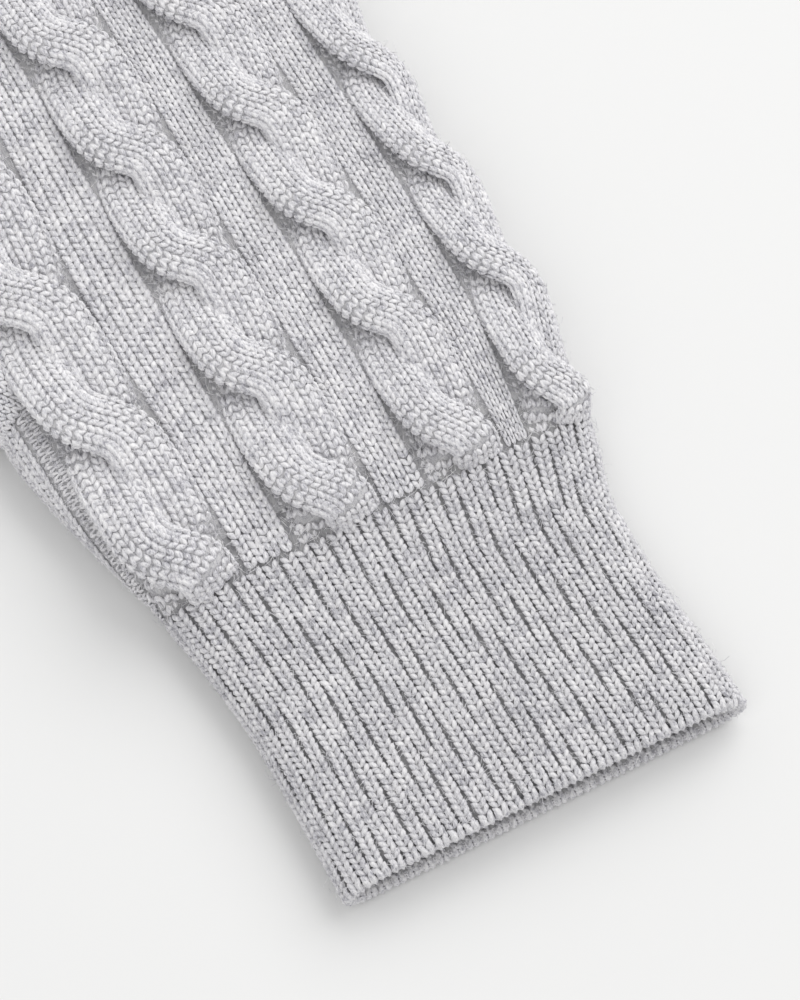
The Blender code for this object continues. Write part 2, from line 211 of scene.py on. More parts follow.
class MittenStage(bpy.types.PropertyGroup):
    """Floor, light and camera."""

    floor_colour: colour("Floor", "Colour of the floor", (0.81, 0.81, 0.805))
    surround: number("Surround", "Strength of the light from all round", 0.69)
    key_power: number("Key Light", "Power of the main light", 13.6, unit="POWER")
    fill_power: number("Fill Light", "Power of the fill light", 1.6, unit="POWER")
    lens: number("Lens", "Focal length in millimetres", 135.0)
    distance: length("Camera Distance", "From the camera to the cuff", 0.662)


# ---- shape of the tube, the thumb and the cables


def smooth(rows, column, station):
    """Values of one column of a table at many stations, on a curve without overshoot."""
    rows = np.asarray(rows, float)
    x, y = rows[:, 0], rows[:, column]
    widths = np.diff(x)
    slopes = np.diff(y) / widths
    product = slopes[:-1] * slopes[1:]
    total = slopes[:-1] + slopes[1:]
    inner = np.where(product > 0.0, 2.0 * product / np.where(total == 0.0, 1.0, total), 0.0)
    turns = np.concatenate([slopes[:1], inner, slopes[-1:]])
    at = np.clip(np.asarray(station, float), x[0], x[-1])
    i = np.clip(np.searchsorted(x, at, side="right") - 1, 0, len(widths) - 1)
    w = widths[i]
    t = (at - x[i]) / w
    return (
        y[i] * (1 + 2 * t) * (1 - t) ** 2
        + turns[i] * w * t * (1 - t) ** 2
        + y[i + 1] * t * t * (3 - 2 * t)
        + turns[i + 1] * w * t * t * (t - 1)
    )


def tube_edges(station):
    """Middle and half width of the hand's tube, which closes in an arc beyond the flare's end."""
    inner = smooth(EDGES, 1, station)
    outer = smooth(EDGES, 2, station)
    closing = np.maximum(0.0, np.asarray(station) - FLARE_END) / (TIP - FLARE_END + 0.0002)
    return (inner + outer) / 2.0, (outer - inner) / 2.0 * np.sqrt(np.maximum(0.0, 1.0 - closing * closing))


def outline(half, floor, top, crown, rounds):
    """Closed flattened outline as (across, height) rows, from the middle of the back round by +across."""
    back_round = min(rounds[0], 0.8 * half)
    palm_round = min(rounds[1], 0.7 * half)
    side = floor + SIDE_LINE * (top - floor)
    flat = half - back_round
    across = flat * np.linspace(0.0, 1.0, 24, endpoint=False)
    rows = [np.column_stack([across, top + crown * np.cos(math.pi / 2 * across / max(flat, 1e-6)) ** 2])]
    angle = math.pi / 2 * (1 - np.linspace(0.0, 1.0, 28, endpoint=False))
    rows.append(np.column_stack([flat + back_round * np.cos(angle), side + (top - side) * np.sin(angle)]))
    angle = math.pi / 2 * np.linspace(0.0, 1.0, 20, endpoint=False)
    palm_flat = half - palm_round
    rows.append(
        np.column_stack([palm_flat + palm_round * np.cos(angle), side - (side - floor) * np.sin(angle)])
    )
    under = palm_flat * (1 - np.linspace(0.0, 1.0, 12, endpoint=False))
    rows.append(np.column_stack([under, np.full(len(under), floor)]))
    half_way = np.vstack(rows)
    back = half_way[1:][::-1] * (-1.0, 1.0)
    return np.vstack([half_way, ((0.0, floor),), back])


class Tube:
    """The outer surface of a flattened tube, read by turn and station."""

    def __init__(self, first, last, step, ring):
        self.first = first
        self.step = step
        self.stations = np.arange(first, last + step / 2, step)
        points, rounds = [], []
        for station in self.stations:
            path = ring(station)
            path = np.vstack([path, path[:1]])
            run = np.concatenate([[0.0], np.cumsum(np.linalg.norm(np.diff(path, axis=0), axis=1))])
            wanted = np.linspace(0.0, run[-1], SAMPLES_AROUND, endpoint=False)
            points.append(np.column_stack([np.interp(wanted, run, path[:, k]) for k in range(3)]))
            rounds.append(run[-1])
        self.points = np.array(points)
        self.rounds = np.array(rounds)
        around = np.roll(self.points, -3, axis=1) - np.roll(self.points, 3, axis=1)
        along = np.gradient(self.points, axis=0)
        self.normals = unit(np.cross(around, along))

    def way_round(self, station):
        """Length of the way round at a station."""
        return np.interp(station, self.stations, self.rounds)

    def read(self, table, turn, station):
        """A table's value between its four nearest entries."""
        row = np.clip((np.asarray(station) - self.first) / self.step, 0.0, len(self.stations) - 1.0001)
        i = row.astype(int)
        a = (row - i)[:, None]
        column = (np.asarray(turn) % 1.0) * SAMPLES_AROUND
        j = column.astype(int) % SAMPLES_AROUND
        b = (column - np.floor(column))[:, None]
        k = (j + 1) % SAMPLES_AROUND
        low = table[i, j] * (1 - b) + table[i, k] * b
        high = table[i + 1, j] * (1 - b) + table[i + 1, k] * b
        return low * (1 - a) + high * a

    def at(self, turn, station, depth=0.0):
        """Points under the surface by a depth, and the outward directions there."""
        outward = unit(self.read(self.normals, turn, station))
        return self.read(self.points, turn, station) - outward * np.reshape(depth, (-1, 1)), outward


def unit(vectors):
    """Vectors of length one."""
    return vectors / np.maximum(np.linalg.norm(vectors, axis=-1, keepdims=True), 1e-12)


def hand_ring(station):
    """The hand's and cuff's outline at a station, in the frame."""
    middle, half = tube_edges(station)
    floor, top, crown = (float(smooth(HEIGHTS, k, station)) for k in (3, 1, 2))
    rows = outline(float(half), floor, top, crown, (BACK_ROUND, PALM_ROUND))
    return np.column_stack([CUFF_X + middle + rows[:, 0], np.full(len(rows), HEM_Y + station), rows[:, 1]])


def thumb_ring(along):
    """The thumb's outline at a distance along it, in the frame."""
    outer, crotch, top = (float(smooth(THUMB_ROWS, k, along)) for k in (1, 2, 3))
    lift = THUMB_LIFT + max(0.0, along - THUMB_TIP_START) * 0.3
    rows = outline((crotch - outer) / 2, lift, top, 0.0005, (THUMB_ROUND, 0.8 * THUMB_ROUND))
    flat = THUMB_BASE + THUMB_WAY * along + THUMB_SIDE * ((outer + crotch) / 2 + rows[:, :1])
    return np.column_stack([flat, rows[:, 1]])


HAND = Tube(0.0, 0.2549, 0.00095, hand_ring)
THUMB = Tube(-0.0240, THUMB_END, 0.0008, thumb_ring)


def inside_outline(across, height, half, floor, top, rounds):
    """True where points lie inside a flattened outline."""
    side = floor + SIDE_LINE * (top - floor)
    a = np.abs(across)
    above = height >= side
    radius = np.where(above, np.minimum(rounds[0], 0.8 * half), np.minimum(rounds[1], 0.7 * half))
    reach = np.where(above, top - side, side - floor)
    past = np.maximum(0.0, a - (half - radius)) / radius
    rise = np.abs(height - side) / reach
    return past * past + rise * rise < 1.0


def inside_hand(points, margin):
    """True where points lie deeper than a margin inside the hand's tube."""
    station = points[:, 1] - HEM_Y
    middle, half = tube_edges(station)
    floor, top = smooth(HEIGHTS, 3, station) + margin, smooth(HEIGHTS, 1, station) - margin
    across = points[:, 0] - CUFF_X - middle
    within = inside_outline(across, points[:, 2], half - margin, floor, top, (BACK_ROUND, PALM_ROUND))
    return within & (station < TIP)


def thumb_places(points):
    """Distances along and across the thumb."""
    away = points[:, :2] - THUMB_BASE
    return away @ THUMB_WAY, away @ THUMB_SIDE


def inside_thumb(points, margin):
    """True where points lie deeper than a margin inside the thumb's tube."""
    along, across = thumb_places(points)
    outer, crotch = smooth(THUMB_ROWS, 1, along), smooth(THUMB_ROWS, 2, along)
    floor, top = THUMB_LIFT + margin, smooth(THUMB_ROWS, 3, along) - margin
    half = (crotch - outer) / 2 - margin
    rounds = (THUMB_ROUND, 0.8 * THUMB_ROUND)
    within = (along > THUMB_ROWS[0, 0]) & (along < THUMB_END)
    return within & inside_outline(across - (outer + crotch) / 2, points[:, 2], half, floor, top, rounds)


def tip_scale(station):
    """How much narrower the hand is than where it starts to close."""
    return np.minimum(1.0, tube_edges(station)[1] / tube_edges(FLARE_END)[1])


def cable_line(index, station):
    """Distance of a cable's middle line from the middle of the back."""
    line = CABLES[index][3]
    return (smooth(line, 1, station) - tube_edges(station)[0]) * tip_scale(station)


def cable_half(index, station):
    """Half the width of a cable."""
    return CABLES[index][2] * tip_scale(station)


def ease(value, low, high):
    """Smooth step from 0 at low to 1 at high."""
    t = np.clip((np.asarray(value) - low) / (high - low), 0.0, 1.0)
    return t * t * (3 - 2 * t)


# ---- node trees


class Graph:
    """A node tree with a short way to add and link its nodes."""

    def __init__(self, tree):
        self.tree = tree

    def add(self, kind, inputs=None, **settings):
        """A new node. inputs holds values or the sockets that feed it."""
        made = self.tree.nodes.new(kind)
        for key, value in settings.items():
            setattr(made, key, value)
        for key, value in (inputs or {}).items():
            if isinstance(value, bpy.types.NodeSocket):
                self.tree.links.new(value, made.inputs[key])
            else:
                made.inputs[key].default_value = value
        return made

    def math(self, operation, first, second=0.0, third=0.0):
        """The result of a Math node."""
        made = self.add("ShaderNodeMath", {0: first, 1: second, 2: third}, operation=operation)
        return made.outputs[0]

    def times(self, first, second):
        """A product."""
        return self.math("MULTIPLY", first, second)

    def plus(self, first, second):
        """A sum."""
        return self.math("ADD", first, second)

    def vector(self, x, y, z):
        """A vector from three numbers."""
        return self.add("ShaderNodeCombineXYZ", {0: x, 1: y, 2: z}).outputs[0]

    def strand(self, curve, sides, radius):
        """A closed tube along a curve."""
        profile = self.add("GeometryNodeCurvePrimitiveCircle", {"Resolution": sides, "Radius": 1.0})
        return self.add(
            "GeometryNodeCurveToMesh",
            {"Curve": curve, "Profile Curve": profile.outputs[0], "Scale": radius, "Fill Caps": True},
        ).outputs[0]

    def scatter(self, points, instance, turn, size, yarn, result):
        """Ends a tree: an instance on every point, made real, smooth and dressed."""
        placed = self.add(
            "GeometryNodeInstanceOnPoints",
            {"Points": points, "Instance": instance, "Rotation": turn, "Scale": size},
        )
        real = self.add("GeometryNodeRealizeInstances", {0: placed.outputs[0]})
        shade = self.add("GeometryNodeSetShadeSmooth", {0: real.outputs[0]})
        dressed = self.add("GeometryNodeSetMaterial", {0: shade.outputs[0], "Material": yarn})
        self.tree.links.new(dressed.outputs[0], result)


SOCKETS = {float: "NodeSocketFloat", int: "NodeSocketInt", tuple: "NodeSocketColor"}


def open_group(name, kind, inputs, outputs):
    """A node group. inputs holds a start value or a socket's type for each name, outputs a type."""
    tree = bpy.data.node_groups.new(name, kind)
    for label, given in inputs.items():
        plain = isinstance(given, str)
        socket_type = given if plain else SOCKETS[type(given)]
        socket = tree.interface.new_socket(label, in_out="INPUT", socket_type=socket_type)
        if not plain:
            socket.default_value = given
    for label, socket_type in outputs.items():
        tree.interface.new_socket(label, in_out="OUTPUT", socket_type=socket_type)
    graph = Graph(tree)
    return tree, graph, graph.add("NodeGroupInput").outputs, graph.add("NodeGroupOutput").inputs


def stitch_tree():
    """Geometry nodes that set a V of two yarn legs on every point."""
    name = "Knit Stitches"
    if name in bpy.data.node_groups:
        return bpy.data.node_groups[name]
    tree, graph, given, result = open_group(
        name,
        "GeometryNodeTree",
        {
            "Geometry": "NodeSocketGeometry",
            "Foot Spread": 0.00016,
            "Head Spread": 0.00080,
            "Rise": 0.0018,
            "Leg Width": 0.0010,
            "Tuck": 0.0003,
            "Roundness": 0.9,
            "Sides": 5,
            "Segments": 3,
            "Seed": 1,
            "Unevenness": 0.1,
            "Yarn": "NodeSocketMaterial",
        },
        {"Geometry": "NodeSocketGeometry"},
    )
    half_rise = graph.times(given["Rise"], 0.5)
    low = graph.times(half_rise, -1.0)
    under = graph.times(given["Tuck"], -1.0)
    legs = graph.add("GeometryNodeJoinGeometry")
    for side in (-1.0, 1.0):
        foot = graph.times(given["Foot Spread"], side)
        head = graph.times(given["Head Spread"], side)
        middle = graph.times(graph.plus(foot, graph.times(head, 1.30)), 0.47)
        leg = graph.add(
            "GeometryNodeCurvePrimitiveBezierSegment",
            {
                "Resolution": 8,
                "Start": graph.vector(foot, low, under),
                "Start Handle": graph.vector(middle, graph.times(low, 0.35), given["Tuck"]),
                "End Handle": graph.vector(middle, graph.times(half_rise, 0.35), given["Tuck"]),
                "End": graph.vector(head, half_rise, under),
            },
        )
        graph.tree.links.new(leg.outputs[0], legs.inputs[0])
    stops = graph.plus(given["Segments"], 1.0)
    stepped = graph.add("GeometryNodeResampleCurve", {"Curve": legs.outputs[0], "Count": stops})
    share = graph.add("GeometryNodeSplineParameter").outputs["Factor"]
    swell = graph.math("SINE", graph.math("MULTIPLY_ADD", share, 0.74 * math.pi, 0.13 * math.pi))
    radius = graph.times(graph.times(given["Leg Width"], 0.5), swell)
    mesh = graph.strand(stepped.outputs[0], given["Sides"], radius)
    flat = graph.add(
        "GeometryNodeTransform", {"Geometry": mesh, "Scale": graph.vector(1.0, 1.0, given["Roundness"])}
    )
    axes = {}
    for label in ("along", "outward", "size"):
        axes[label] = graph.add(
            "GeometryNodeInputNamedAttribute", {"Name": label}, data_type="FLOAT_VECTOR"
        ).outputs[0]
    turn = graph.add(
        "FunctionNodeAxesToRotation",
        {0: axes["outward"], 1: axes["along"]},
        primary_axis="Z",
        secondary_axis="Y",
    )
    least, most = (
        graph.vector(size, size, size)
        for size in (graph.math(sign, 1.0, given["Unevenness"]) for sign in ("SUBTRACT", "ADD"))
    )
    luck = graph.add(
        "FunctionNodeRandomValue", {0: least, 1: most, "Seed": given["Seed"]}, data_type="FLOAT_VECTOR"
    )
    size = graph.add("ShaderNodeVectorMath", {0: axes["size"], 1: luck.outputs[0]}, operation="MULTIPLY")
    graph.scatter(
        given["Geometry"], flat.outputs[0], turn.outputs[0], size.outputs[0], given["Yarn"], result[0]
    )
    return tree


def hair_tree():
    """Geometry nodes that grow short bent hairs from a surface."""
    name = "Brushed Hairs"
    if name in bpy.data.node_groups:
        return bpy.data.node_groups[name]
    tree, graph, given, result = open_group(
        name,
        "GeometryNodeTree",
        {
            "Geometry": "NodeSocketGeometry",
            "Density": 500000.0,
            "Length": 0.0026,
            "Width": 0.00005,
            "Rise": 0.3,
            "Segments": 2,
            "Facing": 0.0,
            "Seed": 7,
            "Yarn": "NodeSocketMaterial",
        },
        {"Geometry": "NodeSocketGeometry"},
    )
    length = given["Length"]

    def part(share):
        return graph.times(length, share)

    rise = given["Rise"]
    hair = graph.add(
        "GeometryNodeCurvePrimitiveBezierSegment",
        {
            "Resolution": given["Segments"],
            "Start": graph.vector(0.0, 0.0, part(-0.08)),
            "Start Handle": graph.vector(part(0.20), part(0.08), graph.times(rise, part(0.90))),
            "End Handle": graph.vector(part(0.55), part(0.06), graph.times(rise, part(1.30))),
            "End": graph.vector(part(0.92), part(-0.10), graph.times(rise, length)),
        },
    )
    mesh = graph.strand(hair.outputs[0], 3, graph.times(given["Width"], 0.5))
    normal = graph.add("GeometryNodeInputNormal").outputs[0]
    upward = graph.add("ShaderNodeSeparateXYZ", {0: normal}).outputs[2]
    wanted = graph.math("GREATER_THAN", graph.times(upward, given["Facing"]), -0.05)
    spread = graph.add(
        "GeometryNodeDistributePointsOnFaces",
        {
            "Selection": wanted,
            "Mesh": given["Geometry"],
            "Density": given["Density"],
            "Seed": given["Seed"],
        },
    )
    way = graph.add(
        "FunctionNodeRandomValue", {2: 0.0, 3: 2 * math.pi, "Seed": given["Seed"]}, data_type="FLOAT"
    )
    spin = graph.add(
        "FunctionNodeAxisAngleToRotation", {"Axis": (0.0, 0.0, 1.0), "Angle": way.outputs[1]}
    )
    turn = graph.add(
        "FunctionNodeRotateRotation",
        {0: spread.outputs["Rotation"], 1: spin.outputs[0]},
        rotation_space="LOCAL",
    )
    other_seed = graph.plus(given["Seed"], 1.0)
    size = graph.add(
        "FunctionNodeRandomValue", {2: 0.35, 3: 1.25, "Seed": other_seed}, data_type="FLOAT"
    )
    graph.scatter(
        spread.outputs["Points"], mesh, turn.outputs[0], size.outputs[1], given["Yarn"], result[0]
    )
    return tree


def heather_group():
    """Shader group: mixed fibres of three tones, with cloudy courses."""
    name = "Heather Fibres"
    if name in bpy.data.node_groups:
        return bpy.data.node_groups[name]
    tree, graph, given, result = open_group(
        name,
        "ShaderNodeTree",
        {
            "Light": (0.8, 0.8, 0.8, 1.0),
            "Middle": (0.5, 0.5, 0.5, 1.0),
            "Dark": (0.2, 0.2, 0.2, 1.0),
            "Tone": 0.5,
            "Cloudiness": 0.5,
        },
        {"Color": "NodeSocketColor", "Fibre": "NodeSocketFloat"},
    )
    place = graph.add("ShaderNodeTexCoord").outputs["Object"]

    def noise(scale, detail, x, y, z):
        spot = graph.add("ShaderNodeMapping", {"Vector": place, "Scale": (x, y, z)})
        return graph.add(
            "ShaderNodeTexNoise", {"Vector": spot.outputs[0], "Scale": scale, "Detail": detail}
        ).outputs["Fac"]

    fibre = noise(3600.0, 2.0, 1.0, 0.34, 1.0)
    fleck = noise(1300.0, 2.0, 1.0, 0.50, 1.0)
    cloud = noise(210.0, 3.0, 0.38, 1.0, 1.0)
    mixed = graph.plus(graph.times(fibre, 1.15), graph.times(fleck, 0.65))
    mixed = graph.plus(mixed, graph.times(cloud, given["Cloudiness"]))
    mixed = graph.plus(mixed, graph.times(given["Tone"], 0.20))
    mixed = graph.math("SUBTRACT", mixed, graph.times(given["Cloudiness"], 0.5))
    shade = graph.add("ShaderNodeMapRange", {"Value": mixed, "From Min": 0.62, "From Max": 1.34})
    halves = [
        graph.add("ShaderNodeMapRange", {"Value": shade.outputs[0], "From Min": low, "From Max": low + 0.5})
        for low in (0.0, 0.5)
    ]
    first = graph.add(
        "ShaderNodeMix", {0: halves[0].outputs[0], 6: given["Dark"], 7: given["Middle"]}, data_type="RGBA"
    )
    second = graph.add(
        "ShaderNodeMix", {0: halves[1].outputs[0], 6: first.outputs[2], 7: given["Light"]}, data_type="RGBA"
    )
    tree.links.new(second.outputs[2], result["Color"])
    tree.links.new(fibre, result["Fibre"])
    return tree


# ---- materials


def yarn_material(name, brightness=1.0, cloudiness=0.5, relief=0.5, roughness=0.92, toned=True):
    """Brushed mixed yarn: heather fibres, fine relief and a soft sheen."""
    if name in bpy.data.materials:
        return bpy.data.materials[name]
    yarn = bpy.context.scene.mitten_yarn
    material = bpy.data.materials.new(name)
    material.use_nodes = True
    graph = Graph(material.node_tree)
    shader = material.node_tree.nodes["Principled BSDF"]
    fibres = graph.add("ShaderNodeGroup", node_tree=heather_group())
    for label in ("light", "middle", "dark"):
        colour = [min(1.0, brightness * c) for c in getattr(yarn, label)]
        fibres.inputs[label.title()].default_value = (*colour, 1.0)
    fibres.inputs["Cloudiness"].default_value = cloudiness
    if toned:
        tone = graph.add("ShaderNodeAttribute", attribute_name="tone")
        graph.tree.links.new(tone.outputs["Fac"], fibres.inputs["Tone"])
    bump = graph.add(
        "ShaderNodeBump",
        {"Strength": relief, "Distance": 0.00012, "Height": fibres.outputs["Fibre"]},
    )
    graph.tree.links.new(fibres.outputs["Color"], shader.inputs["Base Color"])
    graph.tree.links.new(bump.outputs[0], shader.inputs["Normal"])
    shader.inputs["Roughness"].default_value = roughness
    shader.inputs["Specular IOR Level"].default_value = 0.25
    shader.inputs["Sheen Weight"].default_value = yarn.sheen
    shader.inputs["Sheen Roughness"].default_value = 0.55
    shader.inputs["Sheen Tint"].default_value = (0.96, 0.96, 1.0, 1.0)
    return material


def plain_yarn():
    """Yarn of the plain stitches."""
    return yarn_material("plain_yarn", 1.06, 0.26)


def cable_yarn():
    """Yarn of the cables."""
    return yarn_material("cable_yarn", 1.06, 0.22)


def rib_yarn():
    """Yarn of the rib, which shows its dark flecks most."""
    return yarn_material("rib_yarn", 0.97, 0.32)


def seam_yarn():
    """Yarn that links the panels."""
    return yarn_material("seam_yarn", 0.94, 0.26)


def ground_yarn():
    """Fabric behind the rib, darkened to about half the yarn's brightness as painted shade in the valleys
    between rib columns.
    """
    return yarn_material("ground_yarn", 0.46, 0.30, relief=0.8, toned=False)


def body_ground_yarn():
    """Fabric behind the plain stitches, darkened as painted shade in the gaps between them."""
    return yarn_material("body_ground_yarn", 0.62, 0.30, relief=0.8, toned=False)


def cord_ground_yarn():
    """Fabric inside the cables' cords, darkened as painted shade where it shows between their stitches."""
    return yarn_material("cord_ground_yarn", 0.80, 0.30, relief=0.8, toned=False)


def hair_yarn():
    """Loose fibres of the brushed surface."""
    return yarn_material("hair_yarn", 1.06, 0.80, relief=0.0, toned=False)


# ---- making pieces


def stand_for(nodes):
    """Hides the imported parts that a piece takes the place of."""
    if nodes:
        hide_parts(*nodes)


def put(name, mesh):
    """A piece's object, at the origin."""
    thing = bpy.data.objects.new(name, mesh)
    bpy.context.scene.collection.objects.link(thing)
    return thing


def grown(name, source, tree, settings):
    """The plain mesh that a geometry node tree makes of a source object."""
    change = source.modifiers.new(tree.name, "NODES")
    change.node_group = tree
    sockets = {item.name: item.identifier for item in tree.interface.items_tree if item.in_out == "INPUT"}
    for label, value in settings.items():
        change[sockets[label]] = value
    bpy.context.view_layer.update()
    graph = bpy.context.evaluated_depsgraph_get()
    mesh = bpy.data.meshes.new_from_object(source.evaluated_get(graph))
    mesh.name = name
    source.modifiers.clear()
    bpy.data.objects.remove(source, do_unlink=True)
    if not mesh.polygons:
        raise RuntimeError(name + " came out empty")
    return put(name, mesh)


class Stitches:
    """Places for stitches: points with their way, outward direction and size."""

    def __init__(self):
        self.rows = []

    def add(self, points, along, outward, size=(1.0, 1.0, 1.0), keep=None):
        """Adds stitches, leaving out those that keep says no to."""
        sizes = np.broadcast_to(np.asarray(size, float), points.shape)
        block = np.hstack([points, unit(along), outward, sizes])
        self.rows.append(block if keep is None else block[keep])

    def all(self):
        """All the places as one table."""
        return np.vstack(self.rows) if self.rows else np.zeros((0, 12))


def stitched(name, table, seed, material, plain=True, **changes):
    """A piece of V stitches at a table's places."""
    knit = bpy.context.scene.mitten_knit
    mesh = bpy.data.meshes.new(name + "_places")
    mesh.vertices.add(len(table))
    mesh.vertices.foreach_set("co", table[:, :3].ravel())
    for label, first in (("along", 3), ("outward", 6), ("size", 9)):
        values = mesh.attributes.new(label, "FLOAT_VECTOR", "POINT")
        values.data.foreach_set("vector", table[:, first:first + 3].ravel())
    tones = mesh.attributes.new("tone", "FLOAT", "POINT")
    tones.data.foreach_set("value", np.random.default_rng(seed).uniform(0.0, 1.0, len(table)))
    course = knit.course if plain else knit.rib_course
    settings = {
        "Foot Spread": 0.00012 if plain else 0.00010,
        "Head Spread": 0.00080 if plain else 0.00103,
        "Rise": course * (1.14 if plain else 1.16),
        "Leg Width": knit.leg_width if plain else knit.rib_leg_width,
        "Tuck": 0.00022 if plain else 0.00030,
        "Roundness": 0.70 if plain else 0.85,
        "Sides": 5,
        "Segments": 2 if plain else 3,
        "Seed": seed,
        "Unevenness": knit.unevenness,
        "Yarn": material,
    }
    settings.update(changes)
    return grown(name, put(name + "_places", mesh), stitch_tree(), settings)


def widths(share):
    """Sizes of stitches that are wider or narrower across their wale only."""
    return np.column_stack([share, np.ones_like(share), np.ones_like(share)])


def faces_between(steps, count, around):
    """Faces from each ring to the next, for as many steps as are asked for."""
    faces = []
    for i in range(steps):
        low, high = i * around, (i + 1) % count * around
        for j in range(around):
            k = (j + 1) % around
            faces.append((low + j, low + k, high + k, high + j))
    return faces


def closed_loft(name, rings, material):
    """A closed skin through rings of the same count, with a pole at each end as its last two points."""
    rings = np.asarray(rings)
    count, around = rings.shape[:2]
    verts = [tuple(point) for point in rings.reshape(-1, 3)]
    verts += [tuple(rings[0].mean(axis=0)), tuple(rings[-1].mean(axis=0))]
    faces = faces_between(count - 1, count, around)
    first, last = count * around, count * around + 1
    for j in range(around):
        k = (j + 1) % around
        faces.append((first, k, j))
        faces.append((last, (count - 1) * around + j, (count - 1) * around + k))
    return finished(name, verts, faces, material)


def finished(name, verts, faces, material):
    """A smooth object with its faces turned outward."""
    mesh = bpy.data.meshes.new(name)
    mesh.from_pydata(verts, [], faces)
    builder = bmesh.new()
    builder.from_mesh(mesh)
    bmesh.ops.recalc_face_normals(builder, faces=builder.faces)
    builder.to_mesh(mesh)
    builder.free()
    mesh.shade_smooth()
    if material:
        mesh.materials.append(material)
    return put(name, mesh)


def tube_rings(tube, stations, depth, around):
    """Rings of a tube under its surface."""
    turns = np.arange(around) / around
    return [tube.at(turns, np.full(around, station), depth)[0] for station in stations]


def follow(tube, turn_of, stations, depth):
    """Points on a wale, its way and the outward directions. turn_of gives the turn at each station."""
    points, outward = tube.at(turn_of(stations), stations, depth)
    step = tube.step
    ahead = tube.at(turn_of(stations + step), stations + step, depth)[0]
    behind = tube.at(turn_of(stations - step), stations - step, depth)[0]
    return points, ahead - behind, outward


def side_height(station):
    """Height of the side line at a station."""
    floor = smooth(HEIGHTS, 3, station)
    return floor + SIDE_LINE * (smooth(HEIGHTS, 1, station) - floor)


def zone_of(points):
    """-1 on the palm, 0 on a side seam, 1 on the back."""
    away = points[:, 2] - side_height(points[:, 1] - HEM_Y)
    return np.where(np.abs(away) < SEAM_HALF, 0, np.sign(away))


# ---- cuff


RIB_PITCH = 0.0027
RIB_DIP = 0.00006
RIB_SWAY = 0.00018
FIRST_COURSE = 0.0011
INSIDE_END = 0.0085
HEM_TURNS = (15.0, 55.0, 95.0, 135.0, 175.0)


def on_cuff(piece, slot, *nodes):
    """Bakes a piece's place into its mesh and hides the imported parts that it takes the place of."""
    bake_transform(piece)
    stand_for(nodes)


def rib_places():
    """Stitches of the cuff's rib columns on its outside, and a few courses inside its mouth."""
    knit = bpy.context.scene.mitten_knit
    outside, inside = Stitches(), Stitches()
    stations = np.arange(FIRST_COURSE, RIB_END, knit.rib_course)
    within = np.arange(FIRST_COURSE, INSIDE_END, knit.rib_course)
    for column in range(RIBS_AROUND):
        dips = RIB_DIP * np.abs(np.sin(5 * math.pi * (stations / RIB_END) + column * 1.7))

        def turn_of(at):
            sway = RIB_SWAY * np.sin(at * 310.0 + column * 2.1)
            return column / RIBS_AROUND + sway / HAND.way_round(at)

        size = widths(HAND.way_round(stations) / RIBS_AROUND / RIB_PITCH)
        outside.add(*follow(HAND, turn_of, stations, STITCH_DEPTH + dips), size=size)
        points, along, outward = follow(HAND, turn_of, within, FABRIC - 0.0002)
        inside.add(points, along, -outward, size=(0.92, 1.0, 0.9))
    return outside.all(), inside.all()


def hem_places():
    """Stitches that wrap round the hem's edge at each rib column and between the columns."""
    places = Stitches()
    for column in range(2 * RIBS_AROUND):
        turn = np.array([column / (2 * RIBS_AROUND)])
        raised = column % 2 == 0
        rim, outward = HAND.at(turn, np.array([0.0006]), FABRIC / 2)
        back = np.array((0.0, -1.0, 0.0))
        reach = FABRIC / 2 - (0.00035 if raised else 0.0007)
        for angle in HEM_TURNS:
            a = math.radians(angle)
            out = unit(outward * math.cos(a) + back * math.sin(a))
            way = unit(outward * math.sin(a) - back * math.cos(a))
            places.add(rim + out * reach, way, out, size=(1.0 if raised else 0.7, 1.0, 1.0))
    return places.all()


class MITTEN_OT_cuff(bpy.types.Operator):
    """Builds the ribbed cuff, its seams and its hem"""

    bl_idname = "mitten.cuff"
    bl_label = "Ribbed Cuff"

    def execute(self, context):
        stations = np.linspace(0.0008, 0.0660, 26)
        ground = ribbed_ground("cuff_ground", stations)
        on_cuff(ground, "rib", "wrist_join_course")
        outside, inside = rib_places()
        zone = zone_of(outside[:, :3])
        left = outside[:, 0] < CUFF_X
        for name, chosen, seed, material, slot, node in (
            ("cuff_rib_back", zone > 0, 11, rib_yarn, "rib", "cuff_back_rib"),
            ("cuff_rib_palm", zone < 0, 12, rib_yarn, "rib", "cuff_palm_rib"),
            ("cuff_linking_outer", (zone == 0) & ~left, 13, seam_yarn, "seam", "cuff_outer_seam"),
            ("cuff_linking_thumb_side", (zone == 0) & left, 14, seam_yarn, "seam", "cuff_thumb_side_seam"),
        ):
            sides = 4 if name == "cuff_rib_palm" else 5
            on_cuff(stitched(name, outside[chosen], seed, material(), plain=False, Sides=sides), slot, node)
        lining = stitched("cuff_rib_inside", inside, 15, rib_yarn(), plain=False, Sides=4, Segments=2)
        on_cuff(lining, "rib")
        hem = stitched("hem_cast_on", hem_places(), 16, rib_yarn(), plain=False, Sides=4, Segments=2)
        on_cuff(hem, "rib", "hem_edge")
        return {"FINISHED"}


def ribbed_ground(name, stations):
    """The cuff's hollow ground, with a valley between each two rib columns."""
    around = 6 * RIBS_AROUND
    turns = np.arange(around) / around
    wave = 0.5 - 0.5 * np.cos(2 * math.pi * turns * RIBS_AROUND)
    outer, inner = [], []
    for station in stations:
        where = np.full(around, station)
        fade = 1.0 - float(ease(station, RIB_END, RIB_END + 0.003))
        outer.append(HAND.at(turns, where, 0.0007 + 0.0006 * wave * fade)[0])
        inner.append(HAND.at(turns, where, FABRIC - 0.0001 - 0.0004 * (1 - wave) * fade)[0])
    rings = outer + inner[::-1]
    verts = [tuple(point) for ring in rings for point in ring]
    # The ground's dark colour is painted shade for the valleys between the rib columns.
    return finished(name, verts, faces_between(len(rings), len(rings), around), ground_yarn())


# ---- hand


BAND_GAP = 0.0006
OUTER_GAP = 0.0010
LADDER_GAP = 0.0040
LADDER_END = 0.2330
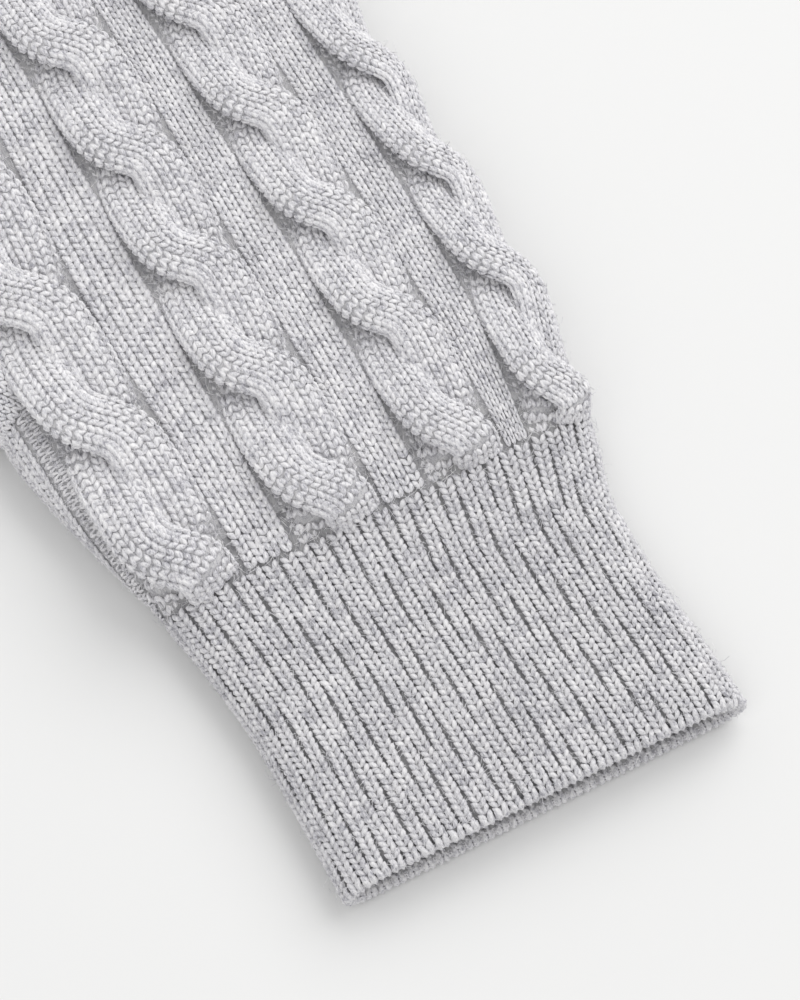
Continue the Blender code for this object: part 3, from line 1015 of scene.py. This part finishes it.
# Each line of purl bumps: the cable beside it, the side, and the distance from the cable's edge.
LADDER_LINES = ((0, -1, 0.0010), (0, -1, 0.0026), (3, 1, 0.0006))
# Where the wales under a cable lie, as shares of the cable's half width.
BED_SHARES = (-0.82, -0.60, 0.60, 0.82)
TIP_COURSE = 0.92
# Where the palm's stitches part into two pieces.
PALM_SPLIT = 0.1400
# Rows of (station, across) of the line between the hand and the gusset.
GUSSET_LINE = (
    (GUSSET_START, -0.0549), (0.1345, -0.0444), (0.1382, -0.0477), (0.1500, -0.0525), (0.1900, -0.0660)
)


def cable_edge(index, side, gap=0.0):
    """Function of the station: distance of a cable's edge from the middle of the back, plus a gap."""
    return lambda at: cable_line(index, at) + side * (cable_half(index, at) + gap)


def plain_bands():
    """(start and end of each plain band as distances from the back's middle, count of wales)."""
    first_edge = cable_edge(0, -1, LADDER_GAP)
    bands = [(cable_edge(index, 1, BAND_GAP), cable_edge(index + 1, -1, BAND_GAP), 4) for index in range(3)]
    return bands + [(cable_edge(3, 1, OUTER_GAP), lambda at: HAND.way_round(at) + first_edge(at), 44)]


def plain_places():
    """Stitches of every plain wale of the hand."""
    knit = bpy.context.scene.mitten_knit
    places = Stitches()
    stations = np.arange(HAND_START, PLAIN_END, knit.course)
    for start, end, count in plain_bands():
        size = widths((end(stations) - start(stations)) / count / knit.wale)
        for wale in range(count):
            share = (wale + 0.5) / count

            def turn_of(at):
                return (start(at) + (end(at) - start(at)) * share) / HAND.way_round(at)

            points, along, outward = follow(HAND, turn_of, stations, STITCH_DEPTH)
            places.add(points, along, outward, size=size, keep=~inside_thumb(points, HIDDEN_DEPTH))
    return places.all()


def purl_places():
    """Short cross-wise bumps: a ladder of two beside the first cable, and one beside the last."""
    knit = bpy.context.scene.mitten_knit
    places = Stitches()
    stations = np.arange(HAND_START, LADDER_END, knit.course)
    for number, line in enumerate(LADDER_LINES):
        edge = cable_edge(*line)
        shifted = stations + knit.course * 0.5 * (number % 2)
        points, along, outward = follow(
            HAND, lambda at: edge(at) / HAND.way_round(at), shifted, LADDER_DEPTH
        )
        places.add(points, np.cross(along, outward), outward, size=(0.62, 1.0, 0.9))
    return places.all()


def bed_places(index):
    """Stitches that lie beside and under a cable's cords, two wales at each edge of the cable."""
    places = Stitches()
    stations = np.arange(HAND_START, CABLE_END, bpy.context.scene.mitten_knit.course)
    for share in BED_SHARES:

        def turn_of(at):
            return (cable_line(index, at) + share * cable_half(index, at)) / HAND.way_round(at)

        places.add(*follow(HAND, turn_of, stations, BED_DEPTH))
    return places.all()


def even_places(tube, stations, count, narrowest, hidden=None):
    """Stitches in wales at equal turns round a tube, left out where hidden says that they lie inside."""
    places = Stitches()
    share = tube.way_round(stations) / count / bpy.context.scene.mitten_knit.wale
    size = widths(np.clip(share, narrowest, 1.3))
    for wale in range(count):
        points, along, outward = follow(
            tube, lambda at: np.full_like(at, wale / count), stations, STITCH_DEPTH
        )
        keep = None if hidden is None else ~hidden(points, HIDDEN_DEPTH)
        places.add(points, along, outward, size=size, keep=keep)
    return places.all()


def tip_places(start, end, count):
    """Stitches that narrow round the closing fingertips."""
    course = TIP_COURSE * bpy.context.scene.mitten_knit.course
    return even_places(HAND, np.arange(start, end, course), count, 0.35)


def in_gusset(points):
    """True where points belong to the thumb's gusset and not to the hand."""
    x = points[:, 0] - CUFF_X
    y = points[:, 1] - HEM_Y
    stations, across = zip(*GUSSET_LINE)
    return (x < np.interp(y, stations, across)) & (y > GUSSET_START) & (y < stations[-1])


def on_hand(piece, slot, *nodes):
    """Lets a piece ride on the hand."""
    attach(piece, "hand")
    stand_for(nodes)


class MITTEN_OT_hand(bpy.types.Operator):
    """Builds the plain stitches of the back and palm, the side seams and the fingertips"""

    bl_idname = "mitten.hand"
    bl_label = "Hand"

    def execute(self, context):
        outer = np.concatenate([np.linspace(0.0640, 0.2400, 64), np.linspace(0.2410, 0.25485, 14)])
        inner = outer[:-5]
        rings = tube_rings(HAND, outer, BACK_GROUND_DEPTH, 180)
        rings = tube_rings(HAND, inner, FABRIC, 180)[::-1] + rings
        # The hand ground's darker colour is painted shade for the gaps between the plain stitches.
        ground = closed_loft("hand_ground", rings, body_ground_yarn())
        on_hand(ground, "knit")
        table = np.vstack([plain_places(), tip_places(PLAIN_END, GATHER_START, 62)])
        zone = zone_of(table[:, :3])
        gusset = in_gusset(table[:, :3])
        left = table[:, 0] < CUFF_X
        low = table[:, 1] < HEM_Y + PALM_SPLIT
        below = table[:, 1] < HEM_Y + GUSSET_START
        seam = (zone == 0) & ~gusset
        for name, chosen, seed, material, slot, nodes in (
            ("back_plain_stitches", (zone > 0) & ~gusset, 21, plain_yarn, "knit", ("back_panel",)),
            ("palm_stitches_lower", (zone < 0) & ~gusset & low, 22, plain_yarn, "knit", ("palm_panel",)),
            ("palm_stitches_upper", (zone < 0) & ~gusset & ~low, 23, plain_yarn, "knit", ()),
            ("outer_side_linking", seam & ~left, 24, seam_yarn, "seam", ("outer_side_seam",)),
            ("thumb_side_linking_lower", seam & left & below, 25, seam_yarn, "seam",
             ("thumb_side_seam_lower",)),
            ("thumb_side_linking_upper", seam & left & ~below, 26, seam_yarn, "seam",
             ("thumb_side_seam_upper",)),
        ):
            coarse = {"Sides": 4, "Segments": 2} if name.startswith("palm") else {"Segments": 3}
            on_hand(stitched(name, table[chosen], seed, material(), **coarse), slot, *nodes)
        on_hand(stitched("back_purl_bumps", purl_places(), 27, plain_yarn(), Sides=4), "knit")
        on_hand(
            stitched("fingertip_gathering", tip_places(GATHER_START, 0.2549, 40), 28, seam_yarn()),
            "seam", "fingertip_closure",
        )
        return {"FINISHED"}


# ---- cables


# How far round a cord its wales reach, and how wide they are together, as a share of its half width.
CORD_WRAP = math.radians(142.0)
CORD_SPREAD = 2.34
CORD_STITCH_DEPTH = 0.0003
# A cord is out of sight where it has sunk this far and lies this near the cable's middle.
HIDDEN_SINK = 0.80
HIDDEN_SIDE = 0.35


class Cord:
    """One cord of a cable, as a path with its own across and outward directions."""

    def __init__(self, index, sign):
        cable = bpy.context.scene.mitten_cable
        first, pitch, half, _ = CABLES[index]
        self.stations = np.linspace(CABLE_START - 0.0006, CABLE_END, 560)
        scale = tip_scale(self.stations)
        turn = math.pi * (self.stations - first) / pitch
        self.side = -sign * np.tanh(STRAND_SHARPNESS * np.sin(turn)) / math.tanh(STRAND_SHARPNESS)
        self.rise = sign * np.cos(turn)
        sink = 1.0 - ease(self.stations, 0.0596, 0.0626) * (1.0 - ease(self.stations, 0.2270, CABLE_END))
        lift = cable.rest_lift + cable.swing * self.rise - 0.0030 * sink
        away = cable_line(index, self.stations) + self.side * CORD_SWAY * half * scale
        turns = away / HAND.way_round(self.stations)
        self.path, self.outward = HAND.at(turns, self.stations, -lift)
        self.along = unit(np.gradient(self.path, axis=0))
        self.across = unit(np.cross(self.along, self.outward))
        self.outward = unit(np.cross(self.across, self.along))
        self.half = CORD_HALF * half * scale * (1.0 - 0.06 * np.maximum(0.0, self.rise))
        self.thick = cable.thickness / 2 * (1.0 + 0.12 * np.maximum(0.0, self.rise)) * np.sqrt(scale)
        steps = np.linalg.norm(np.diff(self.path, axis=0), axis=1)
        self.run = np.concatenate([[0.0], np.cumsum(steps)])

    def read(self, table, run):
        """A table's values at distances along the cord."""
        if table.ndim == 1:
            return np.interp(run, self.run, table)
        return np.column_stack([np.interp(run, self.run, table[:, k]) for k in range(3)])

    def rings(self, count, around, shrink):
        """Rings of the cord's body."""
        run = np.linspace(0.0, self.run[-1], count)
        path, across, outward = (self.read(t, run) for t in (self.path, self.across, self.outward))
        half, thick = self.read(self.half, run) - shrink, self.read(self.thick, run) - shrink
        angle = 2 * math.pi * np.arange(around) / around
        return [
            path[i]
            + np.outer(np.cos(angle) * half[i], across[i])
            + np.outer(np.sin(angle) * thick[i], outward[i])
            for i in range(count)
        ]

    def stitches(self, places, course, wales, wale):
        """Adds the cord's stitches, left out where its partner lies over it."""
        run = np.arange(course * 0.3, self.run[-1], course)
        path, along, across, outward = (
            self.read(t, run) for t in (self.path, self.along, self.across, self.outward)
        )
        half, thick = self.read(self.half, run)[:, None], self.read(self.thick, run)[:, None]
        rise, side = self.read(self.rise, run), self.read(self.side, run)
        hidden = (rise < -HIDDEN_SINK) & (np.abs(side) < HIDDEN_SIDE)
        for number in range(-1, wales + 1):
            angle = CORD_WRAP / wales * (number - (wales - 1) / 2)
            x, z = math.sin(angle), math.cos(angle)
            out = unit(across * (x / half) + outward * (z / thick))
            points = path + across * half * x + outward * thick * z - out * CORD_STITCH_DEPTH
            width = half * CORD_SPREAD / wales / wale * (1.0 if 0 <= number < wales else 0.85)
            places.add(points, along, out, size=widths(width[:, 0]), keep=~hidden)


class MITTEN_OT_cables(bpy.types.Operator):
    """Builds the four cables of two cords each"""

    bl_idname = "mitten.cables"
    bl_label = "Cables"

    def execute(self, context):
        course, wale = context.scene.mitten_knit.course, context.scene.mitten_knit.wale
        for index in range(len(CABLES)):
            places = Stitches()
            bed = stitched(f"cable_{index + 1}_bed", bed_places(index), 51 + index, plain_yarn(), Sides=4)
            on_hand(bed, "cable")
            for letter, sign in (("a", 1), ("b", -1)):
                cord = Cord(index, sign)
                rings = cord.rings(130, 14, 0.0005)
                # The cord body's darker colour is painted shade for the gaps between the cord's stitches.
                body = closed_loft(f"cable_{index + 1}_cord_{letter}", rings, cord_ground_yarn())
                on_hand(body, "cable", f"cable_{index + 1}_strand_{letter}")
                cord.stitches(places, course, context.scene.mitten_cable.wales, wale)
            piece = stitched(
                f"cable_{index + 1}_stitches", places.all(), 31 + index, cable_yarn(), Sides=4, Segments=3
            )
            on_hand(piece, "cable")
        return {"FINISHED"}


# ---- thumb


def on_thumb(piece, slot, *nodes):
    """Bakes a piece's place into its mesh and hides the imported parts that it takes the place of."""
    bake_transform(piece)
    stand_for(nodes)


def thumb_stitch_places():
    """Stitches of the thumb's tube from inside the hand to its tip."""
    stations = np.arange(-0.0230, 0.0592, bpy.context.scene.mitten_knit.course)
    return even_places(THUMB, stations, THUMB_WALES, 0.4, inside_hand)


class MITTEN_OT_thumb(bpy.types.Operator):
    """Builds the thumb, its gusset and its gathered tip"""

    bl_idname = "mitten.thumb"
    bl_label = "Thumb"

    def execute(self, context):
        stations = np.concatenate([np.linspace(-0.0235, 0.0500, 60), np.linspace(0.0510, THUMB_END, 12)])
        outer = tube_rings(THUMB, stations, THUMB_GROUND_DEPTH, 90)
        inner = tube_rings(THUMB, stations[:-4], FABRIC, 90)[::-1]
        # The thumb ground's darker colour is painted shade for the gaps between its stitches.
        ground = closed_loft("thumb_ground", inner + outer, body_ground_yarn())
        on_thumb(ground, "knit", "thumb_join_course")
        table = thumb_stitch_places()
        along = thumb_places(table[:, :3])[0]
        hand_table = plain_places()
        from_hand = hand_table[in_gusset(hand_table[:, :3])]
        gusset = np.vstack([table[along < THUMB_RING], from_hand])
        on_hand(stitched("gusset_stitches", gusset, 41, plain_yarn()), "knit", "thumb_gusset")
        tube = (along >= THUMB_RING) & (along < THUMB_TIP_START)
        on_thumb(stitched("thumb_stitches", table[tube], 42, plain_yarn(), Sides=4), "knit", "thumb_tube")
        tip = table[along >= THUMB_TIP_START]
        on_thumb(stitched("thumb_tip_gathering", tip, 43, seam_yarn()), "seam", "thumb_tip_closure")
        return {"FINISHED"}


# ---- brushed hairs


def fibres(name, rings, seed, share=1.0, facing=0.0, long=False):
    """A piece of fibres that grow from a skin through rings: short lint, or long hairs."""
    fuzz = bpy.context.scene.mitten_fuzz
    skin = closed_loft(name + "_skin", rings, None)
    builder = bmesh.new()
    builder.from_mesh(skin.data)
    builder.verts.ensure_lookup_table()
    bmesh.ops.delete(builder, geom=builder.verts[-2:], context="VERTS")
    builder.to_mesh(skin.data)
    builder.free()
    settings = {
        "Density": (fuzz.hair_density if long else fuzz.lint_density) * share,
        "Length": fuzz.hair_length if long else fuzz.lint_length,
        "Width": fuzz.width * (0.75 if long else 1.0),
        "Rise": 0.32 if long else 0.20,
        "Segments": 2 if long else 1,
        "Facing": facing,
        "Seed": fuzz.seed + seed,
        "Yarn": hair_yarn(),
    }
    return grown(name, skin, hair_tree(), settings)


class MITTEN_OT_fibres(bpy.types.Operator):
    """Grows the short and long fibres of the brushed surface"""

    bl_idname = "mitten.fibres"
    bl_label = "Brushed Fibres"

    def execute(self, context):
        cuff = tube_rings(HAND, np.linspace(0.0004, 0.0600, 40), FIBRE_DEPTH, 160)
        hand = tube_rings(HAND, np.linspace(0.0605, 0.2547, 90), FIBRE_DEPTH, 160)
        thumb = tube_rings(THUMB, np.linspace(-0.0080, THUMB_END, 40), FIBRE_DEPTH, 80)
        on_cuff(fibres("cuff_lint", cuff, 1), "rib")
        on_cuff(fibres("cuff_hairs", cuff, 2, facing=1.0, long=True), "rib")
        on_hand(fibres("back_lint", hand, 3, facing=1.0), "knit")
        on_hand(fibres("palm_lint", hand, 4, 0.22, facing=-1.0), "knit")
        on_hand(fibres("hand_hairs", hand, 5, 0.8, facing=1.0, long=True), "knit")
        on_thumb(fibres("thumb_lint", thumb, 6, 0.6), "knit")
        on_thumb(fibres("thumb_hairs", thumb, 7, facing=1.0, long=True), "knit")
        for index in range(len(CABLES)):
            for letter, sign in (("a", 1), ("b", -1)):
                rings = Cord(index, sign).rings(120, 16, 0.0001)
                name = f"cable_{index + 1}_{letter}"
                seed = 10 + 4 * index + (sign > 0)
                on_hand(fibres(name + "_lint", rings, seed, 0.6), "cable")
                on_hand(fibres(name + "_hairs", rings, seed + 2, 0.7, long=True), "cable")
        return {"FINISHED"}


# ---- stage


KEY_SPOT = (0.95, 0.42, 1.10)
FILL_SPOT = (-0.5, -0.45, 0.85)
FLOOR_REACH = 3.0
FLOOR_HEIGHT = -0.0003
# The camera looks along this way over the floor, and down by an angle, at a spot.
VIEW_WAY = np.array((0.4575, 0.8893))
VIEW_DOWN = math.radians(68.0)
VIEW_SPOT = Vector((CUFF_X + 0.0029, HEM_Y + 0.0604, 0.007))


class MITTEN_OT_stage(bpy.types.Operator):
    """Lays the floor, hangs the lights and sets the camera"""

    bl_idname = "mitten.stage"
    bl_label = "Stage"

    def execute(self, context):
        stage = context.scene.mitten_stage
        mesh = bpy.data.meshes.new("floor")
        corners = ((-1, -1), (1, -1), (1, 1), (-1, 1))
        verts = [(FLOOR_REACH * x, FLOOR_REACH * y, FLOOR_HEIGHT) for x, y in corners]
        mesh.from_pydata(verts, [], [(0, 1, 2, 3)])
        floor = put("floor", mesh)
        material = bpy.data.materials.new("pale_floor")
        material.use_nodes = True
        shader = material.node_tree.nodes["Principled BSDF"]
        shader.inputs["Base Color"].default_value = (*stage.floor_colour, 1.0)
        shader.inputs["Roughness"].default_value = 0.9
        shader.inputs["Specular IOR Level"].default_value = 0.1
        mesh.materials.append(material)

        world = bpy.data.worlds.new("soft_surround")
        world.use_nodes = True
        surround = world.node_tree.nodes["Background"]
        surround.inputs["Color"].default_value = (1.0, 1.0, 1.0, 1.0)
        surround.inputs["Strength"].default_value = stage.surround
        context.scene.world = world
        context.scene.view_settings.view_transform = "Standard"
        for name, place, size, power in (
            ("key_light", KEY_SPOT, 1.4, stage.key_power),
            ("fill_light", FILL_SPOT, 1.0, stage.fill_power),
        ):
            light = bpy.data.lights.new(name, "AREA")
            light.size = size
            light.energy = power
            thing = bpy.data.objects.new(name, light)
            context.scene.collection.objects.link(thing)
            thing.location = place
            thing.rotation_euler = (VIEW_SPOT - Vector(place)).to_track_quat("-Z", "Y").to_euler()

        flat = math.cos(VIEW_DOWN)
        way = Vector((VIEW_WAY[0] * flat, VIEW_WAY[1] * flat, -math.sin(VIEW_DOWN)))
        lens = bpy.data.cameras.new("camera")
        lens.lens = stage.lens
        lens.clip_start = 0.01
        camera = bpy.data.objects.new("camera", lens)
        context.scene.collection.objects.link(camera)
        camera.location = VIEW_SPOT - way * stage.distance
        camera.rotation_euler = way.to_track_quat("-Z", "Y").to_euler()
        context.scene.camera = camera
        return {"FINISHED"}


# ---- add-on


class MITTEN_PT_panel(bpy.types.Panel):
    """Lists the mitten's sizes and pieces"""

    bl_label = "Knitted Mitten"
    bl_idname = "MITTEN_PT_panel"
    bl_space_type = "VIEW_3D"
    bl_region_type = "UI"
    bl_category = "Mitten"

    def draw(self, context):
        for label in GROUPS:
            box = self.layout.box()
            settings = getattr(context.scene, label)
            for name in settings.bl_rna.properties.keys():
                if name not in ("rna_type", "name"):
                    box.prop(settings, name)
        for operator in OPERATORS:
            self.layout.operator(operator.bl_idname)


GROUPS = {
    "mitten_knit": MittenKnit,
    "mitten_cable": MittenCable,
    "mitten_yarn": MittenYarn,
    "mitten_fuzz": MittenFuzz,
    "mitten_stage": MittenStage,
}
OPERATORS = (
    MITTEN_OT_stage, MITTEN_OT_cuff, MITTEN_OT_hand, MITTEN_OT_cables, MITTEN_OT_thumb, MITTEN_OT_fibres,
)


def register():
    """Adds the add-on's classes and settings."""
    for thing in (*GROUPS.values(), *OPERATORS, MITTEN_PT_panel):
        bpy.utils.register_class(thing)
    for label, group in GROUPS.items():
        setattr(bpy.types.Scene, label, bpy.props.PointerProperty(type=group))


def unregister():
    """Takes the add-on's classes and settings away."""
    for label in GROUPS:
        delattr(bpy.types.Scene, label)
    for thing in (MITTEN_PT_panel, *reversed(OPERATORS), *GROUPS.values()):
        bpy.utils.unregister_class(thing)


def main():
    """Builds every piece."""
    register()
    bpy.ops.mitten.stage()
    bpy.ops.mitten.cuff()
    bpy.ops.mitten.hand()
    bpy.ops.mitten.cables()
    bpy.ops.mitten.thumb()
    bpy.ops.mitten.fibres()


if __name__ == "__main__":
    main()
